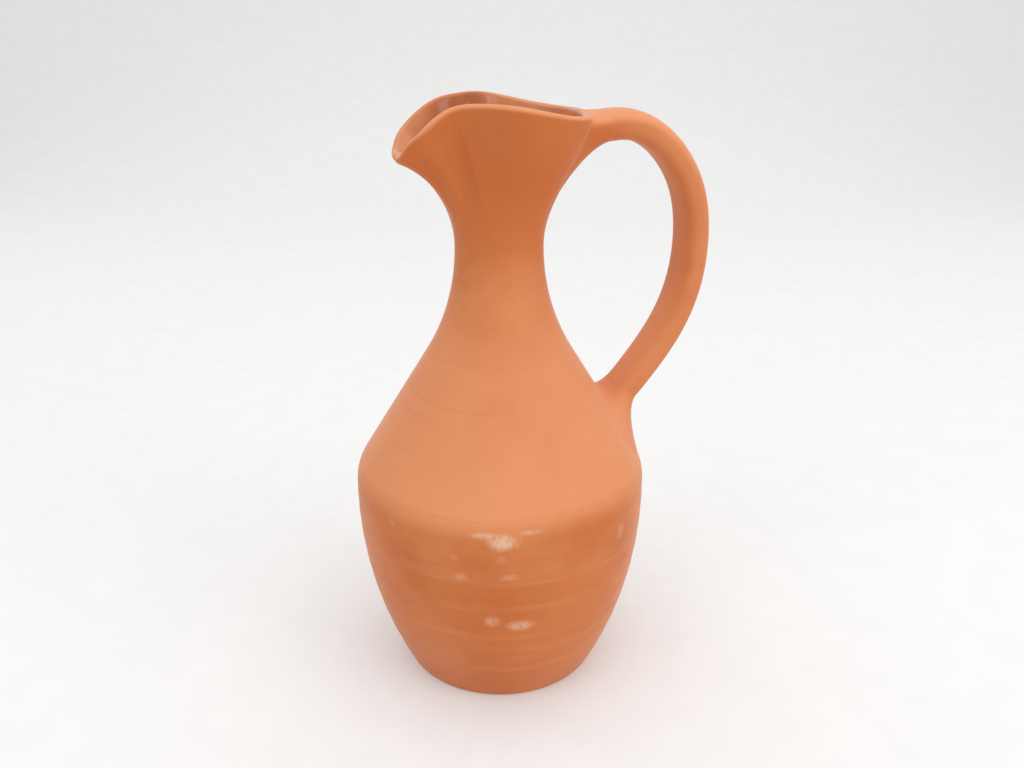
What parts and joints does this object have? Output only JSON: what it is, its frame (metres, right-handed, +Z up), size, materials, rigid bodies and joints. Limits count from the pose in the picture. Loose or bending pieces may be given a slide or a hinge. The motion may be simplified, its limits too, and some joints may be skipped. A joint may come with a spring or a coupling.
{
  "type": "ceramic pitcher",
  "caption": "Unglazed terracotta pitcher: rounded belly with a soft ridge, sloping shoulder, narrow neck, pinched pouring spout, tall strap handle and a clear-glazed inside.",
  "frame": {"origin": "centre of the flat base, on the surface that the pitcher stands on", "axes": "+Z up along the body's axis; +X from the axis towards the handle, -X towards the spout; the XZ plane is the mirror plane"},
  "size_m": [0.1721, 0.1424, 0.2804],
  "materials": {
    "terracotta": "matte bisque, unglazed",
    "slip": "matte fired slip",
    "clear_glaze": "gloss"
  },
  "bodies": {
    "root": {"body": "terracotta", "handle": "terracotta", "handle_lower_coil": "terracotta", "handle_upper_coil": "terracotta", "handle_lower_slip": "slip", "handle_upper_slip": "slip", "inner_glaze": "clear_glaze"}
  },
  "joints": []
}
